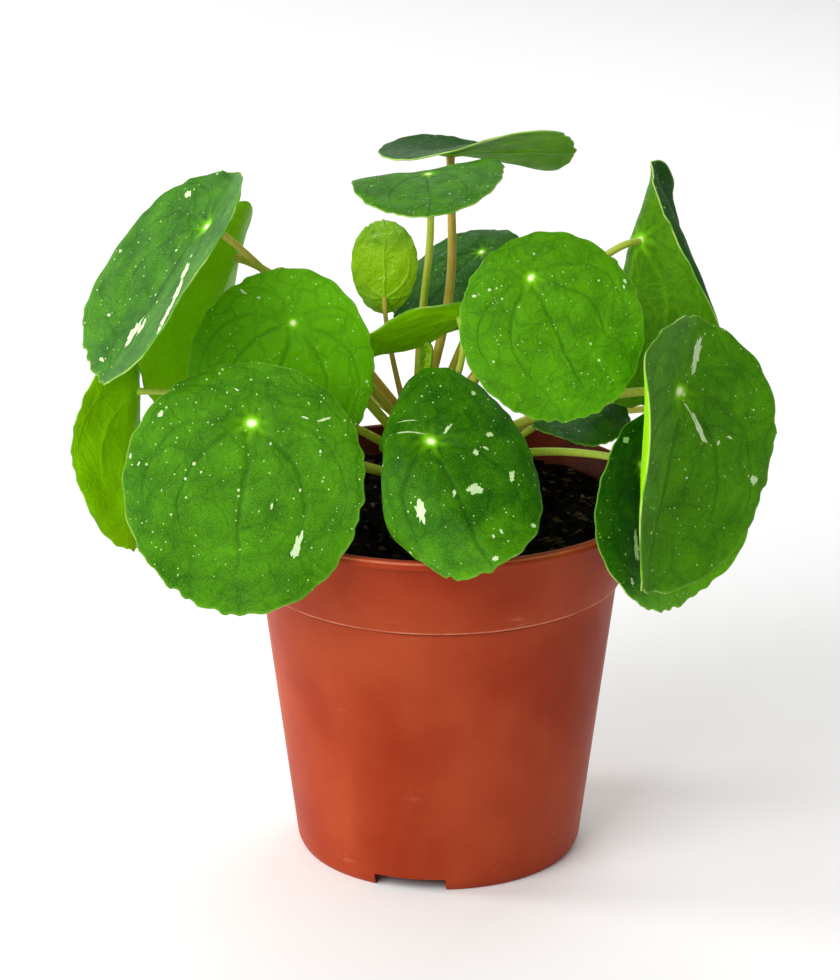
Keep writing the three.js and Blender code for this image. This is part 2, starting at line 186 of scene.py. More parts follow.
# Studio: half the floor's side in metres, the daylight's strength, and the place, target, size and power of
# each light
FLOOR_HALF = 6
DAYLIGHT = 0.42
LIGHTS = {
    "key": ((-700, -900, 900), (0, 0, 110), (900, 900), 15),
    "side": ((-1000, 100, 250), (0, 0, 90), (300, 900), 9),
    "back": ((200, 900, 1000), (0, 0, 130), (900, 500), 6),
    "window": ((-800, 1200, 400), (0, 0, 130), (1500, 500), 4),
}

# The main veins, each on both sides of the blade: the angle from the tip where it leaves the stalk, how far
# it swings towards the tip by half a blade's length out, where it ends, and how strong it is
VEINS = (
    (0, 0, 1.45, 1.0),
    (57, -30, 1.15, 0.9),
    (94, -41, 1.3, 0.7),
    (145, -95, 0.8, 0.55),
    (180, 0, 0.5, 0.4),
)
VEIN_FADE = 0.72
# A blade's materials, in the order of its slots
UPPER, UNDER, MARGIN, FLECK = range(4)

# Each leaf: at, face, size, form, bends and stalk as in the CAD;
#   tone    [tint from 0, dark, to 1, bright, partly the leaf's own green, partly painted shade and light; brownness of the stalk at its foot and at its top]
#   tip     how much brighter the blade is near its tip: painted light where above 0, the leaf's own darker green where below
#   flecks  pale marks as [across, along, half width, half length, turn in degrees]
# bends, tip and flecks are left out where a leaf has none.
LEAVES = {
    "front_left": dict(
        at=(-50, -45, 138.5), face=(-4, 26, -4), size=(67, 64, 0.235, -0.07), form=(2, 1.5, 0.8, 5, 0),
        stalk=(-40, 109, 11, 18, 10, 1.5), tone=(0.44, 0.15, 0.05),
        flecks=(
            (15.6, 31.7, 1.2, 3.8, 14), (-23.9, 0.3, 0.8, 1, 30), (-31, 11.8, 0.4, 0.8, 0),
            (-28.4, 13.8, 0.3, 0.7, 20), (-15.5, 16.8, 0.35, 0.5, 0), (8, 21.8, 0.4, 0.9, 10),
            (19.2, 6.3, 0.4, 0.5, 0), (19.2, -2.3, 1.9, 0.35, -24), (14.3, -2.3, 1, 0.3, 10),
            (-4.5, -8, 0.7, 0.25, 20), (-11.5, 14.6, 0.35, 0.35, 0), (-18.3, 26.5, 0.3, 0.4, 0),
            (15, 17, 0.35, 0.6, 0), (6, 5.5, 0.3, 0.4, 0),
        ),
    ),
    "front_middle": dict(
        at=(-2.5, -50, 135), face=(12, 46, 15), size=(65, 53, 0.385, 0.06), form=(1, 1.5, 0.8, 4, 1),
        bends=((90, 12, 22, 50), (-136, 1.5, 12, 85), (-74, 6, 14, 85)), stalk=(10, 112, 35, 20, 14, 1.5),
        tone=(0.24, 0.2, 0.05), tip=0.3,
        flecks=(
            (-10.7, 17.5, 1.5, 3.4, 12), (5.2, 17.3, 1.6, 2.2, -70), (16.3, 16.7, 0.8, 1.9, 30),
            (15.6, 3.6, 1.2, 0.9, 0), (9.8, 7.5, 0.8, 0.9, 0), (5.7, -1.5, 0.5, 2, 62),
            (-0.5, 16.5, 0.5, 1.2, 25), (16.9, -9.3, 0.7, 0.8, 0), (15.9, 31.5, 1, 0.6, 0),
            (2, 37.5, 1, 0.7, 20), (12.8, 7.2, 0.4, 1, -40), (4.1, 31.6, 0.4, 0.7, 0),
            (6.6, 30.9, 0.4, 0.9, 0), (-16.5, 0.2, 0.4, 0.6, 0), (-4.4, -4.7, 0.25, 5.4, -62),
            (-3.6, -8.3, 0.15, 3, -60),
        ),
    ),
    "front_right": dict(
        at=(23.5, -44, 177), face=(6, 22, 24), size=(50, 48, 0.235, 0.03), form=(2, 1.2, 0.6, 5, 1),
        stalk=(60, 120, 60, 26, 18, 1.4), tone=(0.64, 0.3, 0.1),
        flecks=(
            (22.4, 11.2, 0.4, 0.8, 0), (21.4, 12.3, 0.3, 0.6, 0), (-15.1, -2.6, 0.7, 0.4, 30),
            (-10.8, -2.3, 0.4, 0.4, 0), (3.9, -5.7, 0.4, 0.3, 0),
        ),
    ),
    "middle_left": dict(
        at=(-39.4, -18.5, 157.1), face=(-6, 5, -14), size=(54, 50, 0.27, 0.03), form=(2, 1.2, 0.6, 5, 2),
        stalk=(-80, 118, 45, 20, 18, 1.4), tone=(1.2, 0.2, 0.05),
        flecks=((-15, -4.7, 1.2, 0.4, 20), (-10.6, -4.5, 0.6, 0.35, 0)),
    ),
    "outer_right": dict(
        at=(64, -38, 144), face=(54, 4, -25), size=(74, 71, 0.28, -0.1), form=(0, 1.5, 0.8, 5, 3),
        bends=((90, 0, -10, 20), (-90, 0, -10, 12), (-64, 24, -12, 24)), stalk=(60, 112, 40, 24, 20, 1.5),
        tone=(0.56, 0.2, 0.1),
        flecks=(
            (2.5, -11, 1.5, 5.2, 4), (7.8, 7.5, 0.9, 7, -44), (30.3, 17.4, 1.6, 1.3, 30),
            (19.1, 8, 1, 0.4, 20), (15.6, 10.2, 0.6, 0.7, 0), (7.4, 21.4, 0.4, 0.4, 0),
        ),
    ),
    "lower_right": dict(
        at=(54.6, -38, 124), face=(36, 5, 26), size=(56, 54, 0.23, 0.03), form=(1, 1.2, 1, 4, 0),
        bends=((90, 0, -20, 15), (-90, 0, -20, 15)), stalk=(40, 107, 42, 28, 16, 1.3),
        tone=(0.1, 0.0, 0.0), tip=1.0,
        flecks=((-15.3, 15.3, 1, 4.6, 29), (-22.6, 21.6, 0.6, 1.2, 20), (-2, -9.8, 1.3, 0.9, 30)),
    ),
    "upper_left": dict(
        at=(-62.5, -12, 183.5), face=(-72, 38, 7), size=(67, 64, 0.235, 0.03), form=(0, 1.2, 0.6, 5, 0),
        bends=((90, 0, -30, 12), (-90, 0, -30, 12)), stalk=(-82, 123, 50, 30, 20, 1.3), tone=(0.22, 0.6, 0.5),
        flecks=(
            (-15.5, -4.6, 1.6, 1.1, 0), (1, 35, 2.4, 4.6, 0), (4.4, 33, 1.5, 3, -24),
            (14, 14.5, 1.5, 4.6, -50), (20.5, 20, 2, 5, -48), (25.8, 26.8, 2.1, 5.5, -34),
            (28.4, 32, 1.2, 2, -30), (-7, 45.8, 1.4, 0.6, 0), (-15.7, 34.6, 0.8, 0.5, 0),
            (-29, 18, 0.8, 0.6, 0), (8.7, 10, 0.8, 0.6, 0),
        ),
    ),
    "upper_left_back": dict(
        at=(-57.5, 20, 165), face=(-116, 7, 24), size=(64, 60, 0.245, 0.03), form=(0, 1, 0.6, 5, 0),
        bends=((90, 0, -12, 21), (-90, 0, -12, 21)), stalk=(-120, 124, 45, 30, 16, 1.4), tone=(0.6, 0.8, 0.5),
    ),
    "far_left": dict(
        at=(-83.5, -7, 134.5), face=(-109, -6, 18), size=(53, 46, 0.18, -0.12), form=(0, 1, 0.6, 5, 0),
        bends=((90, 0, -12, 22), (-90, 0, -12, 22)), stalk=(-95, 112, 35, 36, 20, 1.2), tone=(0.25, 0.2, 0.0),
    ),
    "upper_right": dict(
        at=(55, 5, 173), face=(138, -20, 3), size=(67, 70, 0.33, 0.18), form=(0, 1, 0.5, 5, 0),
        bends=((90, 0, -6, 90), (-136, 7, 9, 90)), stalk=(100, 124, 50, 30, 12, 1.3), tone=(-0.6, 0.3, 0.1),
    ),
    "top_back": dict(
        at=(3, 8, 198), face=(180, 70, -90), size=(53, 46, 0.36, 0.03), form=(0, 1, 3.8, 2, 3.14),
        bends=((100, 8, -20, 40),), stalk=(110, 131, 73, 34, 26, 1.4), tone=(-0.2, 0.6, 0.9),
    ),
    "top_front": dict(
        at=(-3.2, -21, 199.8), face=(-32, 79, 32), size=(41, 40, 0.44, 0), form=(1, 1, 1.4, 2, -1.57),
        bends=((-170, 0, 9, 72),), stalk=(170, 130, 84, 30, 22, 1.2), tone=(0.3, 0.2, 0.1),
    ),
    "young": dict(
        at=(-15, 4, 158), face=(180, 10, 180), size=(28, 18, 0.2, 0.03), form=(-2, 0.5, 0, 4, 0),
        stalk=(-110, 130, 75, 14, 8, 0.8), tone=(0.9, 0.9, 0.6), tip=-0.9,
    ),
    "bud": dict(
        at=(-4.6, -5, 139), face=(10, -5, 172), size=(10, 4.4, 0.05, 0), form=(0, 0.2, 0, 4, 0),
        bends=((90, 0, -1.6, 70), (-90, 0, -1.6, 70)), stalk=(5, 129, 80, 2, 2, 0.8), tone=(1.0, 0.0, 0.0),
    ),
    "back_middle": dict(
        at=(11.5, 38, 161.5), face=(-46, 57, -6), size=(42, 38, 0.25, 0.03), form=(2, 1, 0.6, 5, 0),
        stalk=(120, 126, 70, 20, 12, 1.2), tone=(0.0, 0.5, 0.3),
    ),
    "inner_left": dict(
        at=(4.7, -9, 157.5), face=(-152, 47, 58), size=(34, 25.5, 0.14, 0), form=(0, 1, 0.5, 5, 0),
        stalk=(45, 126, 45, 12, 10, 1.1), tone=(1.0, 0.1, 0.0),
    ),
    "inner_right": dict(
        at=(33, 12, 128.5), face=(10, 75, 20), size=(36, 28, 0.25, 0.03), form=(1, 1, 0.6, 5, 0),
        stalk=(80, 108, 35, 14, 10, 1.1), tone=(0.1, 0.2, 0.1),
    ),
    "back_right": dict(
        at=(31, 54, 143), face=(150, 18, 0), size=(50, 48, 0.235, 0.03), form=(2, 1.2, 0.6, 5, 2),
        stalk=(140, 118, 50, 24, 16, 1.4), tone=(0.5, 0.4, 0.1),
    ),
    "back_left": dict(
        at=(-43, 58.4, 122), face=(-140, 18, 0), size=(50, 48, 0.235, 0.03), form=(2, 1.2, 0.6, 5, 1),
        stalk=(-150, 114, 40, 24, 16, 1.4), tone=(0.4, 0.4, 0.1),
    ),
    "back_outer": dict(
        at=(93.4, 50, 111), face=(78, 2, 0), size=(36, 34, 0.3, 0.03), form=(1, 1, 0.6, 5, 4),
        stalk=(118, 112, 20, 30, 24, 1.2), tone=(0.5, 0.3, 0.1),
    ),
}
YOUNG = ("young", "bud")


def mix(a, b, t):
    return a + (b - a) * t


def smooth(t):
    t = np.clip(t, 0, 1)
    return t * t * (3 - 2 * t)


def unit(v):
    return v / np.maximum(np.linalg.norm(v, axis=-1, keepdims=True), 1e-12)


def compass(turn):
    return np.array([math.sin(math.radians(turn)), -math.cos(math.radians(turn)), 0.0])


def linear(red, green, blue):
    """A colour seen on a screen, 0 to 255, as the light that Blender works in."""
    return (*((c / 255) ** 2.2 for c in (red, green, blue)), 1)


class Shader:
    """One procedural material. Each method adds a node and gives back what comes out of it."""

    def __init__(self, name, **surface):
        self.material = bpy.data.materials.new(name)
        self.material.use_nodes = True
        self.tree = self.material.node_tree
        self.surface = self.tree.nodes["Principled BSDF"]
        for socket, value in surface.items():
            self.set(socket.replace("_", " "), value)

    def set(self, socket, value):
        self.feed(self.surface.inputs[socket], value)

    def feed(self, socket, value):
        if isinstance(value, bpy.types.NodeSocket):
            self.tree.links.new(value, socket)
        else:
            socket.default_value = value

    def add(self, kind, inputs, **settings):
        node = self.tree.nodes.new("ShaderNode" + kind)
        for key, value in settings.items():
            setattr(node, key, value)
        for key, value in inputs.items():
            self.feed(node.inputs[key], value)
        return node

    def math(self, operation, *values):
        return self.add("Math", dict(enumerate(values)), operation=operation).outputs[0]

    def vector(self, operation, *values):
        return self.add("VectorMath", dict(enumerate(values)), operation=operation).outputs[0]

    def mix(self, share, a, b, blend="MIX"):
        node = self.add("Mix", {0: share, 6: a, 7: b}, data_type="RGBA", blend_type=blend)
        return node.outputs[2]

    def band(self, value, start, end, low=0.0, high=1.0):
        """Goes smoothly from low at start to high at end."""
        inputs = {0: value, 1: start, 2: end, 3: low, 4: high}
        return self.add("MapRange", inputs, interpolation_type="SMOOTHSTEP").outputs[0]

    def noise(self, where, scale, detail=3.0, rough=0.5):
        inputs = {"Vector": where, "Scale": scale, "Detail": detail, "Roughness": rough}
        return self.add("TexNoise", inputs).outputs

    def cells(self, where, scale, feature="F1"):
        return self.add("TexVoronoi", {"Vector": where, "Scale": scale}, feature=feature).outputs

    def attribute(self, name):
        return self.add("Attribute", {}, attribute_name=name).outputs["Vector"]

    def split(self, vector):
        return self.add("SeparateXYZ", {0: vector}).outputs

    def place(self):
        return self.add("TexCoord", {}).outputs["Object"]

    def stretch(self, where, scale):
        return self.vector("MULTIPLY", where, scale)

    def bump(self, height, strength, distance):
        inputs = {"Height": height, "Strength": strength, "Distance": distance * MM}
        self.set("Normal", self.add("Bump", inputs).outputs[0])


def vein_share(s, reach, turned, vein):
    """How much a spot on the blade belongs to one main vein."""
    start, swing, end, strength = vein
    squared = s.math("MULTIPLY", reach, reach)
    line = s.math("MULTIPLY_ADD", squared, math.radians(swing), math.radians(start))
    off = s.math("ABSOLUTE", s.math("SUBTRACT", turned, line))
    away = s.math("MULTIPLY", off, reach)
    wide = s.band(reach, 0.1, end, 0.036, 0.02)
    share = s.band(s.math("DIVIDE", away, wide), 0.1, 1.2, 1.0, 0.0)
    return s.math("MULTIPLY", share, s.band(reach, end * VEIN_FADE, end, strength, 0.0))


def leaf_lines(s, bent, wander):
    """Distance from the stalk, the main veins, the net between them and the finer net, on the blade."""
    x, y = s.split(bent)[:2]
    reach = s.math("SQRT", s.math("ADD", s.math("MULTIPLY", x, x), s.math("MULTIPLY", y, y)))
    turned = s.math("ABSOLUTE", s.math("ARCTAN2", x, y))
    veins = vein_share(s, reach, turned, VEINS[0])
    for vein in VEINS[1:]:
        veins = s.math("MAXIMUM", veins, vein_share(s, reach, turned, vein))
    flat = s.stretch(s.vector("ADD", bent, s.stretch(wander, (0.3, 0.3, 0))), (1, 1, 0))
    net = s.band(s.cells(flat, 3.6, "DISTANCE_TO_EDGE")[0], 0.0, 0.09, 1.0, 0.0)
    fine = s.band(s.cells(flat, 11.0, "DISTANCE_TO_EDGE")[0], 0.0, 0.12, 1.0, 0.0)
    return reach, veins, net, fine


def scatter_dots(s, colour, moved):
    """The colour with small pale dots in it, scattered in three sizes."""
    for scale, size in ((8.0, 0.13), (17.0, 0.16), (23.0, 0.18)):
        near, tone = s.cells(s.stretch(moved, (1, 1, 0)), scale)[:2]
        luck = s.split(tone)[0]
        radius = s.math("MULTIPLY", s.math("POWER", luck, 3.0), size)
        dot = s.math("LESS_THAN", near, radius)
        colour = s.mix(s.math("MULTIPLY", dot, 0.8), colour, linear(205, 232, 150))
    return colour


def leaf_material(name, under, young):
    """A blade's upper or under side, from its own coordinates: across, along and share of the way out."""
    s = Shader(name)
    tint, seed, tip = s.split(s.attribute("tone"))
    spot = s.attribute("spot")
    _, along, edge = s.split(spot)
    shift = s.add("CombineXYZ", {0: seed, 1: seed, 2: seed}).outputs[0]
    moved = s.vector("ADD", spot, s.stretch(shift, (7, 3, 5)))
    wander = s.vector("SUBTRACT", s.noise(moved, 2.4, 2.0)[1], (0.5, 0.5, 0.5))
    bent = s.vector("ADD", spot, s.stretch(wander, (0.11, 0.11, 0)))
    reach, veins, net, fine = leaf_lines(s, bent, wander)
    lines = s.math("MAXIMUM", veins, s.math("MULTIPLY", net, 0.5))
    patches = s.noise(moved, 3.0, 4.0, 0.6)[0]
    grain = s.noise(moved, 110.0, 2.0, 0.7)[0]
    if young:
        sheen, dark, bright = 0.5, linear(70, 134, 4), linear(160, 212, 12)
    elif under:
        sheen, dark, bright = 0.06, linear(68, 120, 2), linear(150, 222, 6)
    else:
        sheen, dark, bright = 0.09, linear(30, 82, 4), linear(96, 170, 4)
    # The undersides' greens above and this lift of their tint are partly their own paler colour, partly
    # painted light shining through the blade
    if under:
        tint = s.math("ADD", tint, 0.5)
    # Painted light brightens the blade towards its tip where tip is above 0; below 0 the tip is its own
    # darker green
    toward_tip = s.band(along, 0.6, 1.3)
    tint = s.math("ADD", tint, s.math("MULTIPLY", tip, toward_tip))
    # The tint darkens or brightens the whole leaf: partly its own green, partly painted shade and light
    level = s.math("ADD", tint, s.math("SUBTRACT", patches, 0.5))
    level = s.math("ADD", level, s.math("MULTIPLY", s.math("SUBTRACT", grain, 0.5), 1.7))
    colour = s.mix(level, dark, bright)
    if young:
        vein_colour = linear(186, 222, 60)
    elif under:
        vein_colour = linear(128, 190, 20)
    else:
        vein_colour = s.mix(1.0, colour, (0.4, 0.5, 0.6, 1), "MULTIPLY")
    colour = s.mix(s.math("MULTIPLY", lines, 0.2 if under else 0.65), colour, vein_colour)
    colour = s.mix(s.math("MULTIPLY", fine, 0.16), colour, vein_colour)
    glow = s.band(reach, 0.015, 0.1, 1.0, 0.0)
    rays = s.math("MULTIPLY", veins, s.band(reach, 0.06, 0.22, 0.4, 0.0))
    colour = s.mix(s.math("MAXIMUM", glow, rays), colour, linear(140, 226, 20))
    colour = s.mix(s.band(reach, 0.012, 0.045, 1.0, 0.0), colour, linear(250, 255, 200))
    # A pale band along the edge: partly the blade's own paler margin, partly a painted highlight where light
    # catches the edge
    colour = s.mix(s.band(edge, 0.98, 1.0, 0.0, 0.25), colour, linear(150, 196, 70))
    if young:
        pits = s.band(s.cells(moved, 13.0)[0], 0.1, 0.22, 0.7, 0.0)
        colour = s.mix(pits, colour, linear(44, 104, 6))
    elif not under:
        colour = scatter_dots(s, colour, moved)
    smoothest, roughest = (0.12, 0.26) if young else (0.36, 0.56)
    s.set("Base Color", colour)
    s.set("Specular IOR Level", sheen)
    s.set("Roughness", s.band(grain, 0.3, 0.7, smoothest, roughest))
    depth = s.math("MULTIPLY", lines, 0.4 if under else -0.4)
    depth = s.math("ADD", depth, s.math("MULTIPLY", fine, 0.1 if under else -0.1))
    depth = s.math("ADD", depth, s.math("MULTIPLY", s.noise(moved, 5.0, 2.0)[0], 2.4 if young else 1.6))
    s.bump(s.math("ADD", depth, s.math("MULTIPLY", grain, 0.3)), 0.6, 0.6)
    return s.material


def margin_material():
    s = Shader("leaf_margin", Roughness=0.5, Specular_IOR_Level=0.3)
    speck = s.band(s.noise(s.place(), 90.0)[0], 0.4, 0.62)
    # The rim's pale green is partly its own colour, partly painted light catching the edge
    s.set("Base Color", s.mix(speck, linear(84, 146, 20), linear(170, 204, 96)))
    return s.material


def fleck_material():
    s = Shader("leaf_fleck", Roughness=0.5)
    speck = s.noise(s.place(), 1400.0, 4.0)[0]
    s.set("Base Color", s.mix(speck, linear(162, 206, 118), linear(226, 240, 200)))
    s.bump(speck, 0.4, 0.1)
    return s.material


def stalk_material():
    """Yellow-green, browner by an amount that the mesh carries, with fine lengthwise streaks."""
    s = Shader("stalk_skin", Roughness=0.38, Specular_IOR_Level=0.2)
    along, brown, _ = s.split(s.attribute("tone"))
    place = s.place()
    streaks = s.noise(s.stretch(place, (1, 1, 0.12)), 1500.0, 3.0)[0]
    blotch = s.noise(place, 160.0, 2.0)[0]
    green = s.mix(along, linear(184, 186, 50), linear(186, 208, 70))
    ruddy = s.mix(blotch, linear(178, 122, 52), linear(212, 158, 84))
    brownness = s.math("ADD", brown, s.math("MULTIPLY", s.math("SUBTRACT", blotch, 0.5), 0.5))
    colour = s.mix(brownness, green, ruddy)
    colour = s.mix(s.band(streaks, 0.35, 0.75, 0.0, 0.35), colour, linear(206, 214, 120))
    spots = s.band(s.cells(s.stretch(place, (1, 1, 0.5)), 700.0)[0], 0.08, 0.2, 0.45, 0.0)
    colour = s.mix(spots, colour, linear(120, 84, 40))
    s.set("Base Color", colour)
    s.bump(streaks, 0.35, 0.2)
    return s.material


def trunk_material():
    s = Shader("trunk_bark", Roughness=0.8)
    place = s.place()
    rings, top, scar = s.split(s.attribute("tone"))
    plates = s.cells(s.stretch(place, (1, 1, 0.35)), 420.0, "DISTANCE_TO_EDGE")
    cracks = s.band(plates[0], 0.0, 0.12, 1.0, 0.0)
    rough = s.noise(place, 700.0, 5.0, 0.65)[0]
    colour = s.mix(rough, linear(74, 54, 34), linear(148, 118, 78))
    colour = s.mix(s.math("MULTIPLY", top, 0.75), colour, linear(128, 132, 60))
    colour = s.mix(s.math("MULTIPLY", rings, 0.6), colour, linear(58, 40, 26))
    colour = s.mix(s.math("MULTIPLY", scar, 0.7), colour, linear(176, 150, 108))
    colour = s.mix(s.math("MULTIPLY", cracks, 0.5), colour, linear(44, 30, 20))
    s.set("Base Color", colour)
    s.bump(s.math("SUBTRACT", rough, s.math("MULTIPLY", cracks, 0.6)), 0.7, 0.5)
    return s.material


def soil_material():
    s = Shader("potting_mix", Roughness=0.95, Specular_IOR_Level=0.03)
    place = s.place()
    lumps = s.noise(place, 260.0, 5.0, 0.7)[0]
    bits = s.cells(place, 520.0)[1]
    colour = s.mix(s.band(lumps, 0.3, 0.7), linear(2, 1, 1), linear(22, 15, 10))
    luck = s.split(bits)[0]
    colour = s.mix(s.band(luck, 0.86, 0.98, 0.0, 0.5), colour, linear(104, 78, 52))
    s.set("Base Color", colour)
    s.bump(s.noise(place, 900.0, 6.0, 0.75)[0], 0.9, 0.8)
    return s.material


def chip_material():
    s = Shader("bark_chips", Roughness=0.9)
    place = s.place()
    fibres = s.noise(s.stretch(place, (1, 0.2, 1)), 900.0, 4.0)[0]
    s.set("Base Color", s.mix(fibres, linear(30, 20, 13), linear(96, 68, 42)))
    s.bump(fibres, 0.6, 0.4)
    return s.material


def pot_material(name, inside):
    """Moulded terracotta-coloured plastic with faint flow marks, dust and scuffs; painted shade inside, and
    painted shade and highlight lines at the outside's edges.
    """
    s = Shader(name, Roughness=0.4, Specular_IOR_Level=0.06)
    place = s.place()
    clouds = s.band(s.noise(place, 26.0, 4.0)[0], 0.25, 0.75)
    flow = s.noise(s.stretch(place, (1, 1, 0.16)), 90.0, 4.0, 0.6)[0]
    colour = s.mix(clouds, linear(142, 48, 25), linear(166, 70, 42))
    colour = s.mix(s.band(flow, 0.45, 0.75, 0.0, 0.12), colour, linear(184, 88, 56))
    rubbed_and_shade = s.noise(s.stretch(place, (1, 1, 2.5)), 55.0, 6.0, 0.75)[0]
    scratches = s.noise(s.stretch(place, (1, 1, 9)), 60.0, 2.0, 0.8)[0]
    scuffs = s.math("MULTIPLY", s.band(rubbed_and_shade, 0.58, 0.72), s.band(scratches, 0.5, 0.62))
    colour = s.mix(s.math("MULTIPLY", scuffs, 0.16), colour, linear(224, 150, 124))
    dust = s.band(s.noise(place, 2600.0, 2.0)[0], 0.6, 0.8, 0.0, 0.12)
    colour = s.mix(dust, colour, linear(120, 50, 30))
    if inside:
        # Painted shade: the inside wall darkened unevenly, as the plant above shades it
        colour = s.mix(s.band(rubbed_and_shade, 0.3, 0.7, 0.55, 0.95), colour, linear(40, 18, 11))
    else:
        # Painted shade just under the collar's step and the lip, and painted highlight on the collar's edge
        # and the rim, fading in and out round the pot
        height = s.split(place)[2]
        line_fade = s.noise(place, 140.0, 3.0)[0]
        for line_z, shade in EDGE_SHADE_AND_HIGHLIGHT:
            away = s.math("ABSOLUTE", s.math("SUBTRACT", height, line_z * MM))
            line = s.band(away, 0.0, EDGE_LINE_WIDTH * MM, 1.0, 0.0)
            strength = s.math("MULTIPLY", line, s.band(line_fade, 0.3, 0.6, 0.25, 0.75))
            colour = s.mix(strength, colour, linear(*shade))
    s.set("Base Color", colour)
    s.set("Roughness", s.band(flow, 0.3, 0.8, 0.36, 0.5))
    fine = s.noise(place, 1500.0, 3.0)[0]
    s.bump(s.math("ADD", s.math("MULTIPLY", fine, 0.4), s.math("MULTIPLY", flow, 0.6)), 0.25, 0.12)
    return s.material


def new_piece(name, vertices, faces, materials, slot, *nodes):
    """A mesh from points in millimetres, riding on the one body and standing for the CAD nodes."""
    mesh = bpy.data.meshes.new(name)
    mesh.from_pydata((np.asarray(vertices) * MM).tolist(), [], faces)
    mesh.validate()
    mesh.shade_smooth()
    for material in materials:
        mesh.materials.append(material)
    piece = bpy.data.objects.new(name, mesh)
    bpy.context.scene.collection.objects.link(piece)
    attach(piece, ROOT)
    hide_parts(*nodes)
    return piece


def carry(piece, name, values):
    """Stores three numbers for each vertex, which a material reads as an attribute."""
    layer = piece.data.attributes.new(name, "FLOAT_VECTOR", "POINT")
    layer.data.foreach_set("vector", np.asarray(values, dtype=np.float32).ravel())


def paint(piece, picks):
    """Gives each face its material slot."""
    piece.data.polygons.foreach_set("material_index", np.asarray(picks, dtype=np.int32))


# Pot

def filleted(corners):
    """The half section through [radius, z, fillet] corners, with each fillet rounded."""
    line = []
    for i, (r, z, fillet) in enumerate(corners):
        here = np.array([r, z], dtype=float)
        before = np.array(corners[i - 1][:2], dtype=float)
        after = np.array(corners[(i + 1) % len(corners)][:2], dtype=float)
        if not fillet:
            line.append(here)
            continue
        a = here + unit(before - here) * fillet
        b = here + unit(after - here) * fillet
        for k in range(FILLET_STEPS + 1):
            t = k / FILLET_STEPS
            line.append(a * (1 - t) ** 2 + here * 2 * t * (1 - t) + b * t * t)
    return line


def divided(line, longest):
    """The same line with its long stretches split."""
    result = []
    for a, b in zip(line, line[1:]):
        pieces = max(1, math.ceil(np.linalg.norm(b - a) / longest))
        result += [a + (b - a) * k / pieces for k in range(pieces)]
    return result + [line[-1]]


def lathe(line, sides):
    """Vertices and faces of the solid turned from a line that starts and ends on the axis."""
    vertices = [(0, 0, line[0][1])]
    faces = []
    for r, z in line[1:-1]:
        for k in range(sides):
            a = 2 * math.pi * k / sides
            vertices.append((r * math.cos(a), r * math.sin(a), z))
    vertices.append((0, 0, line[-1][1]))
    last = len(vertices) - 1
    rings = len(line) - 2
    for k in range(sides):
        j = (k + 1) % sides
        faces.append((0, 1 + j, 1 + k))
        for i in range(rings - 1):
            a = 1 + i * sides
            faces.append((a + k, a + j, a + sides + j, a + sides + k))
        a = 1 + (rings - 1) * sides
        faces.append((a + k, a + j, last))
    return vertices, faces


def cutter(parts):
    """A mesh of boxes and drills, each given by its kind, size, turn and centre."""
    bm = bmesh.new()
    for kind, size, turn, centre in parts:
        if kind == "box":
            made = bmesh.ops.create_cube(bm, size=1)["verts"]
            for v in made:
                v.co = Vector((v.co.x * size[0], v.co.y * size[1], v.co.z * size[2]))
        else:
            radius, depth = size
            made = bmesh.ops.create_cone(
                bm, segments=DRAIN_SIDES, radius1=radius, radius2=radius, depth=depth, cap_ends=True
            )["verts"]
        c, s = math.cos(math.radians(turn)), math.sin(math.radians(turn))
        for v in made:
            x, y, z = v.co
            v.co = (Vector((x * c - y * s, x * s + y * c, z)) + Vector(centre)) * MM
    mesh = bpy.data.meshes.new("cutter")
    bm.to_mesh(mesh)
    bm.free()
    tool = bpy.data.objects.new("cutter", mesh)
    bpy.context.scene.collection.objects.link(tool)
    return tool


def cut_away(piece, tool):
    """Takes the tool's shape out of the piece, and then the tool out of the scene."""
    cut = piece.modifiers.new("cut", "BOOLEAN")
    cut.operation = "DIFFERENCE"
    cut.solver = "EXACT"
    cut.object = tool
    depsgraph = bpy.context.evaluated_depsgraph_get()
    mesh = bpy.data.meshes.new_from_object(piece.evaluated_get(depsgraph))
    piece.modifiers.clear()
    old = piece.data
    piece.data = mesh
    mesh.name = piece.name
    bpy.data.meshes.remove(old)
    bpy.data.objects.remove(tool)
    return mesh


def looks_in(face):
    """Whether a face of the pot looks towards its axis."""
    return face.normal.dot(Vector((face.center.x, face.center.y, 0))) < 0


